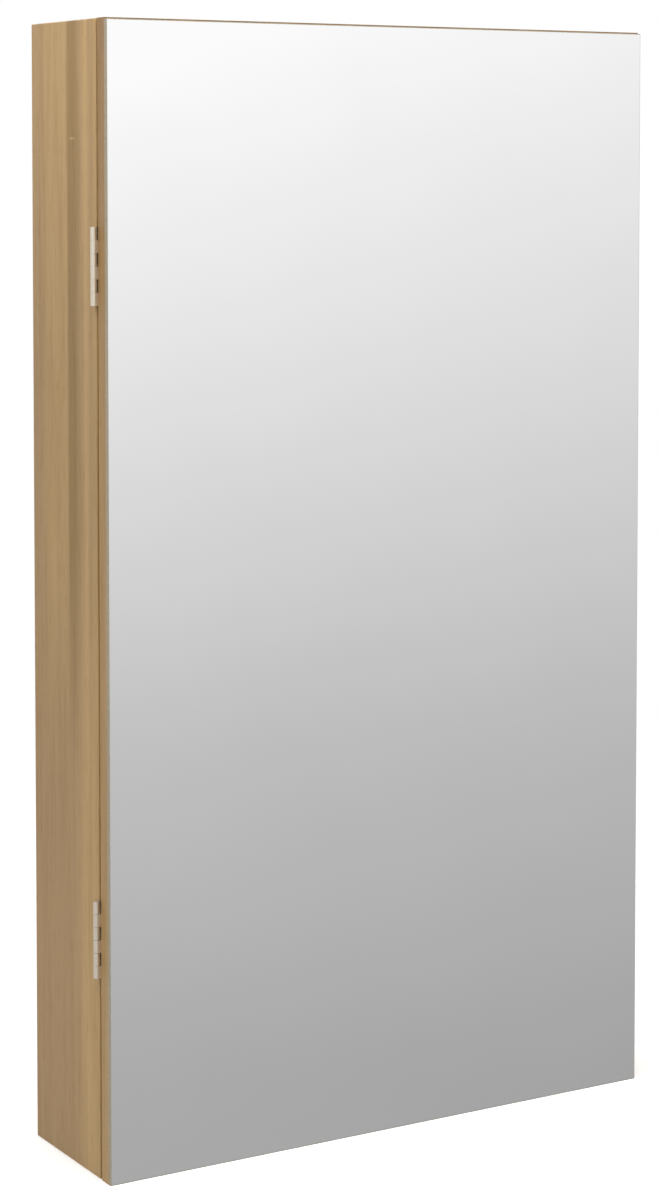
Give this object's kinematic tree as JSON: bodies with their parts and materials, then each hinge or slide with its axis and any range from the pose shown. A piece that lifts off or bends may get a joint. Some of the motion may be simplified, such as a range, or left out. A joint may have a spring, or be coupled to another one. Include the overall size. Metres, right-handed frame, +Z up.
{
  "type": "jewelry mirror cabinet",
  "caption": "Slim wall-hung jewelry cabinet whose whole door is a mirror, with hooks, ring rolls, shelves and a rod inside.",
  "frame": {"origin": "midway between the two keyholes of the hanging plates, on the wall plane", "axes": "+X to the right as one faces the mirror, +Y into the wall, +Z up"},
  "size_m": [0.379, 0.1, 0.67],
  "materials": {
    "oak_foil": "oak-look foil on board, satin",
    "oak_foil_inside": "oak-look foil on board, satin",
    "hardboard": "plain hardboard",
    "raw_particle_board": "bare board",
    "beech": "turned, bare",
    "lacquered_beech": "turned and lacquered",
    "velvet": "black velvet on card or foam",
    "flocked_panel": "black, flocked",
    "mirror_glass": "silvered float glass with ground edges",
    "nickel_plate": "nickel-plated steel",
    "zinc_steel": "zinc-plated steel",
    "magnet": "nickel-plated magnet",
    "clear_bumper": "clear soft plastic"
  },
  "bodies": {
    "case": {"left_side": "oak_foil", "right_side": "oak_foil", "top_panel": "oak_foil", "bottom_panel": "oak_foil", "corner_dowels": "beech", "back_panel": "hardboard", "hanging_rail": "raw_particle_board", "keyhole_plate_left": "zinc_steel", "keyhole_plate_right": "zinc_steel", "keyhole_screws": "zinc_steel", "back_lining": "velvet", "upper_case_leaf": "nickel_plate", "lower_case_leaf": "nickel_plate", "upper_hinge_pin": "nickel_plate", "lower_hinge_pin": "nickel_plate", "case_hinge_screws": "nickel_plate", "ring_shelf": "oak_foil_inside", "upper_shelf": "oak_foil_inside", "lower_shelf": "oak_foil_inside", "ring_lip": "oak_foil_inside", "lower_lip": "oak_foil_inside", "bottom_lip": "oak_foil_inside", "ring_tray": "oak_foil_inside", "ring_roll_1": "velvet", "ring_roll_2": "velvet", "ring_roll_3": "velvet", "ring_roll_4": "velvet", "ring_roll_5": "velvet", "ring_roll_6": "velvet", "ring_roll_7": "velvet", "rod_cup_left": "nickel_plate", "rod_cup_right": "nickel_plate", "bracelet_rod": "lacquered_beech", "necklace_rail": "oak_foil_inside", "necklace_hooks": "nickel_plate", "catch_magnets": "magnet"},
    "door": {"door_panel": "oak_foil", "mirror": "mirror_glass", "upper_door_leaf": "nickel_plate", "lower_door_leaf": "nickel_plate", "door_hinge_screws": "nickel_plate", "strike_plates": "zinc_steel", "strike_screws": "zinc_steel", "door_bumpers": "clear_bumper", "earring_frame": "oak_foil_inside", "earring_panel": "flocked_panel", "door_hook_strip": "oak_foil_inside", "door_hooks": "nickel_plate"}
  },
  "joints": [
    {"name": "door_swing", "type": "hinge", "parent": "case", "child": "door", "pos_m": [-0.1896, -0.087, -0.3], "axis": [0, 0, -1], "range_deg": [0, 180]}
  ]
}
